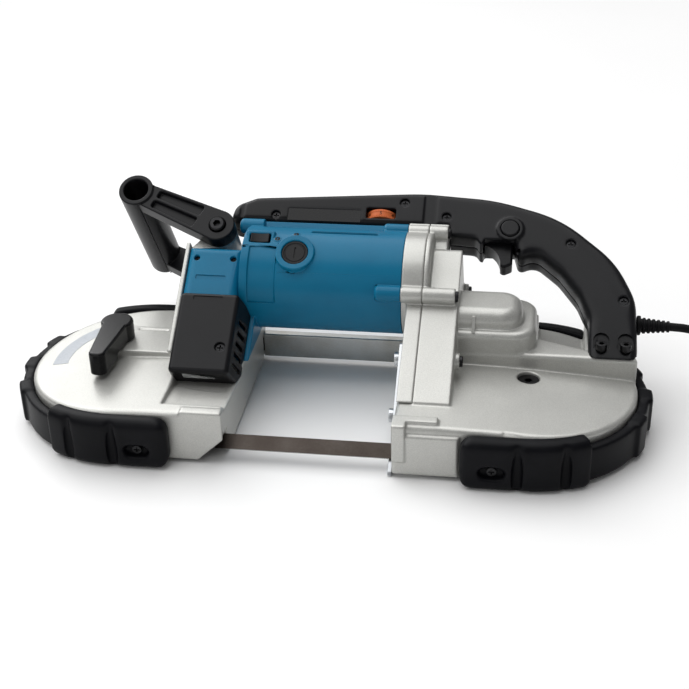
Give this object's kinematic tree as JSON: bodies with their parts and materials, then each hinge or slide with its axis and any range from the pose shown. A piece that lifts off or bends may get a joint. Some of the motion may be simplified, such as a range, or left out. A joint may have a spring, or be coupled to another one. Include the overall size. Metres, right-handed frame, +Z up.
{
  "type": "portable band saw",
  "caption": "Portable band saw lying on its wheel housings: leaned motor and D-grip handle over an open throat, cross front handle, tension lever and rubber bumpers.",
  "frame": {"origin": "on the bench under the middle of the saw, its cord and plug left out", "axes": "+X along the blade span towards the drive wheel, +Y towards the handle back, +Z up along the wheel axes"},
  "size_m": [0.711, 0.2856, 0.1553],
  "materials": {
    "silver": "silver paint over cast aluminium, satin",
    "teal": "teal moulded plastic, satin",
    "black_plastic": "black moulded plastic, fine grain",
    "gloss_black": "black moulded plastic, smooth",
    "rubber": "matte black rubber",
    "wheel_metal": "die-cast, as cast",
    "steel": "machined steel",
    "black_steel": "black oxide",
    "zinc": "zinc plated sheet",
    "blade_steel": "dark spring steel",
    "iron_core": "stacked core sheets",
    "copper": "varnished copper windings",
    "orange": "orange moulded plastic",
    "lens": "clear lamp lens",
    "lamp": "white lamp and holder",
    "cord_rubber": "black rubber cord sheath"
  },
  "bodies": {
    "frame": {"left_frame": "silver", "right_frame": "silver", "gear_cover": "silver", "cap_screws": "black_steel", "gear_train_bearings": "steel", "drive_axle": "black_steel", "bearing_carrier": "wheel_metal", "stator_core": "iron_core", "field_coils": "copper", "brush_holders": "copper", "brush_caps": "black_plastic", "motor_housing": "teal", "controller_cover": "teal", "controller_case": "teal", "cover_screws": "black_steel", "speed_controller": "black_plastic", "lamp_box": "black_plastic", "lamp_lens": "lens", "lamp_tube": "lamp", "handle_front": "black_plastic", "handle_back": "black_plastic", "trigger_switch": "black_plastic", "front_handle": "black_plastic", "socket_bolts": "black_steel", "return_guard": "zinc", "blade": "blade_steel", "left_guide": "steel", "right_guide": "steel", "left_bumper": "rubber", "right_bumper": "rubber", "strain_relief": "cord_rubber", "cord_coil": "cord_rubber", "cord": "cord_rubber", "cord_tie": "black_plastic", "plug": "cord_rubber"},
    "drive_wheel": {"drive_wheel": "wheel_metal", "drive_tyre": "rubber", "wheel_gear": "steel"},
    "upright_shaft": {"upright_shaft": "steel", "bevel_gear": "steel"},
    "second_shaft": {"second_shaft": "steel"},
    "armature": {"armature_shaft": "steel", "armature_core": "iron_core", "commutator": "copper", "cooling_fan": "black_plastic"},
    "tension_lever": {"tension_lever": "gloss_black", "tension_cam": "steel"},
    "idler_carriage": {"idler_carriage": "steel", "idler_axle": "steel"},
    "idler_wheel": {"idler_wheel": "wheel_metal", "idler_tyre": "rubber"},
    "trigger": {"trigger": "black_plastic"},
    "lock_button": {"lock_button": "black_plastic"},
    "speed_dial": {"speed_dial": "orange"},
    "lamp_switch": {"lamp_switch": "gloss_black"},
    "stop_plate": {"stop_plate": "zinc"},
    "left_inner_roller": {"left_inner_roller": "steel"},
    "left_outer_roller": {"left_outer_roller": "steel"},
    "right_inner_roller": {"right_inner_roller": "steel"},
    "right_outer_roller": {"right_outer_roller": "steel"}
  },
  "joints": [
    {"name": "drive_wheel_spin", "type": "hinge", "parent": "frame", "child": "drive_wheel", "pos_m": [0.15933, -0.04315, 0.015], "axis": [0, 0, 1], "continuous": true},
    {"name": "upright_shaft_spin", "type": "hinge", "parent": "frame", "child": "upright_shaft", "pos_m": [0.13578, 0.00711, 0.045], "axis": [0, 0, 1], "continuous": true},
    {"name": "second_shaft_spin", "type": "hinge", "parent": "frame", "child": "second_shaft", "pos_m": [0.08, 0.00711, 0.07206], "axis": [1, 0, 0], "continuous": true},
    {"name": "armature_spin", "type": "hinge", "parent": "frame", "child": "armature", "pos_m": [0, 0.02693, 0.08594], "axis": [1, 0, 0], "continuous": true},
    {"name": "tension_lever_turn", "type": "hinge", "parent": "frame", "child": "tension_lever", "pos_m": [-0.1813, -0.02235, 0.05], "axis": [0, 0, 1], "range_deg": [-150, 0]},
    {"name": "idler_carriage_slide", "type": "slide", "parent": "frame", "child": "idler_carriage", "axis": [1, 0, 0], "range_m": [0, 0.0042]},
    {"name": "idler_wheel_spin", "type": "hinge", "parent": "idler_carriage", "child": "idler_wheel", "pos_m": [-0.15933, -0.04315, 0.015], "axis": [0, 0, 1], "continuous": true},
    {"name": "trigger_squeeze", "type": "slide", "parent": "frame", "child": "trigger", "axis": [0, 0.8192, 0.5736], "range_m": [0, 0.006], "stiffness_N_per_m": 1500},
    {"name": "lock_button_press", "type": "slide", "parent": "frame", "child": "lock_button", "axis": [0, 0.5736, -0.8192], "range_m": [0, 0.003], "stiffness_N_per_m": 1600},
    {"name": "speed_dial_turn", "type": "hinge", "parent": "frame", "child": "speed_dial", "pos_m": [0.029, 0.07967, 0.1175], "axis": [0, 0.8192, 0.5736], "range_deg": [-180, 45]},
    {"name": "lamp_switch_rock", "type": "hinge", "parent": "frame", "child": "lamp_switch", "pos_m": [-0.064, 0.01783, 0.12388], "axis": [0, 0.8192, 0.5736], "range_deg": [-8, 8]},
    {"name": "stop_plate_slide", "type": "slide", "parent": "frame", "child": "stop_plate", "axis": [0, 0.8192, 0.5736], "range_m": [0, 0.018]},
    {"name": "left_inner_roller_spin", "type": "hinge", "parent": "frame", "child": "left_inner_roller", "pos_m": [-0.079, -0.11539, 0.01106], "axis": [0, 0.8192, 0.5736], "continuous": true},
    {"name": "left_outer_roller_spin", "type": "hinge", "parent": "frame", "child": "left_outer_roller", "pos_m": [-0.079, -0.12091, 0.01894], "axis": [0, 0.8192, 0.5736], "continuous": true},
    {"name": "right_inner_roller_spin", "type": "hinge", "parent": "frame", "child": "right_inner_roller", "pos_m": [0.073, -0.11539, 0.01106], "axis": [0, 0.8192, 0.5736], "continuous": true},
    {"name": "right_outer_roller_spin", "type": "hinge", "parent": "frame", "child": "right_outer_roller", "pos_m": [0.073, -0.12091, 0.01894], "axis": [0, 0.8192, 0.5736], "continuous": true}
  ],
  "couplings": [
    {"joint": "upright_shaft_spin", "follows": "drive_wheel_spin", "ratio": -4.2857},
    {"joint": "second_shaft_spin", "follows": "drive_wheel_spin", "ratio": 12.857},
    {"joint": "armature_spin", "follows": "drive_wheel_spin", "ratio": -57.857},
    {"joint": "idler_wheel_spin", "follows": "drive_wheel_spin", "ratio": 1},
    {"joint": "tension_lever_turn", "follows": "idler_carriage_slide", "rad_per_m": -623.33},
    {"joint": "left_inner_roller_spin", "follows": "drive_wheel_spin", "ratio": 17.778},
    {"joint": "left_outer_roller_spin", "follows": "drive_wheel_spin", "ratio": -17.778},
    {"joint": "right_inner_roller_spin", "follows": "drive_wheel_spin", "ratio": 17.778},
    {"joint": "right_outer_roller_spin", "follows": "drive_wheel_spin", "ratio": -17.778}
  ]
}
